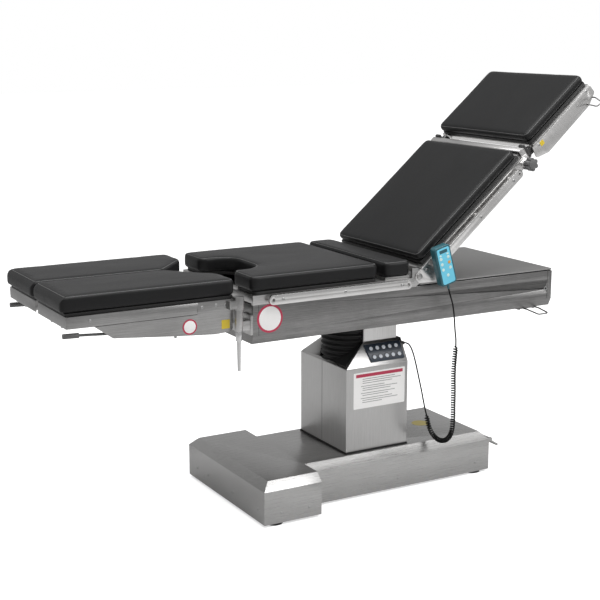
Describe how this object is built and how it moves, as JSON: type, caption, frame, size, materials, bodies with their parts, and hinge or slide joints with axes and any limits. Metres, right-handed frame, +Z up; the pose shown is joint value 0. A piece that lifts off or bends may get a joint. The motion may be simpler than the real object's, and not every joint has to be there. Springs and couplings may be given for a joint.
{
  "type": "operating table",
  "caption": "Electric operating table with split leg sections, kidney bridge, raised back and head sections, tilting stainless top on a lifting column and a hanging handset",
  "frame": {"origin": "middle of the table's box in X and Y, on the floor, leads left out", "axes": "+X to the head end, +Y away from the side with the handset, +Z up"},
  "size_m": [1.89, 0.608, 1.3542],
  "materials": {
    "stainless": "fine brushed, satin",
    "bright_stainless": "bright, ground smooth",
    "chrome": "polished",
    "aluminium": "plain",
    "dark_paint": "satin black",
    "lid_paint": "satin",
    "rubber": "matt black",
    "board": "black laminate",
    "pad": "moulded skin foam, soft sheen",
    "dark_plastic": "fine grain",
    "grey_plastic": "grey, moulded",
    "panel_blue": "dark blue grey foil",
    "key_white": "white",
    "handset_teal": "dark teal",
    "handset_blue": "light blue foil",
    "cord": "black jacket"
  },
  "bodies": {
    "base": {"base_frame": "dark_paint", "base_cover": "stainless", "feet": "rubber", "battery_pack": "dark_plastic", "control_unit": "dark_plastic", "column_gasket": "rubber", "column_cover": "stainless", "cutout_sheet": "rubber", "control_panel": "panel_blue", "panel_keys": "key_white", "inner_column": "stainless", "lift_actuator": "aluminium", "cord_gland": "dark_plastic", "cord_column_lead": "cord", "cord_curly": "cord", "cord_handset_lead": "cord"},
    "pedal": {"base_pedal": "stainless"},
    "lift": {"column_sleeve": "bright_stainless", "lift_rod": "chrome", "bellows": "rubber", "tilt_yoke": "dark_paint"},
    "trend": {"tilt_cradle": "dark_paint"},
    "table": {"pivot_hangers": "dark_paint", "chassis_box": "stainless", "chassis_lid": "lid_paint", "lid_seal": "rubber", "seat_frame": "stainless", "seat_board": "board", "seat_pad": "pad", "seat_rail_near": "bright_stainless", "seat_rail_far": "bright_stainless", "leg_bracket_near": "stainless", "leg_bracket_far": "stainless"},
    "pull": {"pull_handle": "chrome"},
    "kidney": {"kidney_frame": "stainless", "kidney_pad": "pad"},
    "back": {"back_frame": "stainless", "back_board": "board", "back_pad": "pad", "back_rail_near": "bright_stainless", "back_rail_far": "bright_stainless"},
    "head_slide": {"head_mount": "dark_paint"},
    "clamp_near": {"clamp_near": "grey_plastic"},
    "clamp_far": {"clamp_far": "grey_plastic"},
    "head": {"head_frame": "bright_stainless", "head_pad": "pad"},
    "head_release": {"head_loop": "chrome"},
    "handset": {"handset_case": "handset_teal", "handset_face": "handset_blue"},
    "knuckle_near": {"leg_knuckle_near": "stainless"},
    "leg_near": {"leg_frame_near": "stainless", "leg_pad_near": "pad"},
    "leg_lock_near": {"leg_lock_near": "chrome"},
    "lever_near": {"leg_lever_near": "grey_plastic"},
    "knuckle_far": {"leg_knuckle_far": "stainless"},
    "leg_far": {"leg_frame_far": "stainless", "leg_pad_far": "pad"},
    "leg_lock_far": {"leg_lock_far": "chrome"},
    "lever_far": {"leg_lever_far": "grey_plastic"}
  },
  "joints": [
    {"name": "column_lift", "type": "slide", "parent": "base", "child": "lift", "axis": [0, 0, 1], "range_m": [-0.03, 0.25], "deforming": ["bellows", "cord_handset_lead", "cord_curly"]},
    {"name": "end_tilt", "type": "hinge", "parent": "lift", "child": "trend", "pos_m": [0.15422, 0, 0.64], "axis": [0, -1, 0], "range_deg": [-25, 25]},
    {"name": "side_tilt", "type": "hinge", "parent": "trend", "child": "table", "pos_m": [0.15422, 0, 0.64], "axis": [1, 0, 0], "range_deg": [-18, 18]},
    {"name": "kidney_lift", "type": "slide", "parent": "table", "child": "kidney", "axis": [0, 0, 1], "range_m": [0, 0.1]},
    {"name": "back_fold", "type": "hinge", "parent": "table", "child": "back", "pos_m": [0.24152, 0, 0.7328], "axis": [0, -1, 0], "range_deg": [-40.5, 18]},
    {"name": "head_reach", "type": "slide", "parent": "back", "child": "head_slide", "axis": [0.7604, 0, 0.6494], "range_m": [0, 0.07]},
    {"name": "head_fold", "type": "hinge", "parent": "head_slide", "child": "head", "pos_m": [0.68636, 0, 1.11273], "axis": [0, -1, 0], "range_deg": [-45, 20]},
    {"name": "clamp_near_turn", "type": "hinge", "parent": "back", "child": "clamp_near", "pos_m": [0.64843, -0.304, 1.07245], "axis": [0, -1, 0], "continuous": true},
    {"name": "clamp_far_turn", "type": "hinge", "parent": "back", "child": "clamp_far", "pos_m": [0.64843, 0.304, 1.07245], "axis": [0, 1, 0], "continuous": true},
    {"name": "head_release_pull", "type": "slide", "parent": "head", "child": "head_release", "axis": [0, -1, 0], "range_m": [0, 0.01], "stiffness_N_per_m": 600, "springref_m": -0.004},
    {"name": "pull_handle_pull", "type": "slide", "parent": "table", "child": "pull", "axis": [0, -1, 0], "range_m": [0, 0.012], "stiffness_N_per_m": 600, "springref_m": -0.004},
    {"name": "pedal_press", "type": "hinge", "parent": "base", "child": "pedal", "pos_m": [0.59872, 0, 0.112], "axis": [0, 1, 0], "range_deg": [0, 15], "stiffness_Nm_per_rad": 30, "springref_deg": -8},
    {"name": "handset_lift_off", "type": "slide", "parent": "back", "child": "handset", "axis": [-0.6494, 0, 0.7604], "range_m": [0, 0.03]},
    {"name": "leg_fold_near", "type": "hinge", "parent": "table", "child": "knuckle_near", "pos_m": [-0.38578, -0.221, 0.64], "axis": [0, 1, 0], "range_deg": [-90, 15]},
    {"name": "leg_spread_near", "type": "hinge", "parent": "knuckle_near", "child": "leg_near", "pos_m": [-0.41078, -0.262, 0.696], "axis": [0, 0, 1], "range_deg": [0, 90]},
    {"name": "leg_lock_near_turn", "type": "hinge", "parent": "knuckle_near", "child": "leg_lock_near", "pos_m": [-0.41078, -0.262, 0.602], "axis": [0, 0, 1], "range_deg": [0, 90]},
    {"name": "lever_near_squeeze", "type": "hinge", "parent": "leg_near", "child": "lever_near", "pos_m": [-0.78578, -0.239, 0.665], "axis": [0, 1, 0], "range_deg": [0, 5], "stiffness_Nm_per_rad": 15, "springref_deg": -6},
    {"name": "leg_fold_far", "type": "hinge", "parent": "table", "child": "knuckle_far", "pos_m": [-0.38578, 0.221, 0.64], "axis": [0, 1, 0], "range_deg": [-90, 15]},
    {"name": "leg_spread_far", "type": "hinge", "parent": "knuckle_far", "child": "leg_far", "pos_m": [-0.41078, 0.262, 0.696], "axis": [0, 0, -1], "range_deg": [0, 90]},
    {"name": "leg_lock_far_turn", "type": "hinge", "parent": "knuckle_far", "child": "leg_lock_far", "pos_m": [-0.41078, 0.262, 0.602], "axis": [0, 0, -1], "range_deg": [0, 90]},
    {"name": "lever_far_squeeze", "type": "hinge", "parent": "leg_far", "child": "lever_far", "pos_m": [-0.78578, 0.239, 0.665], "axis": [0, 1, 0], "range_deg": [0, 5], "stiffness_Nm_per_rad": 15, "springref_deg": -6}
  ]
}
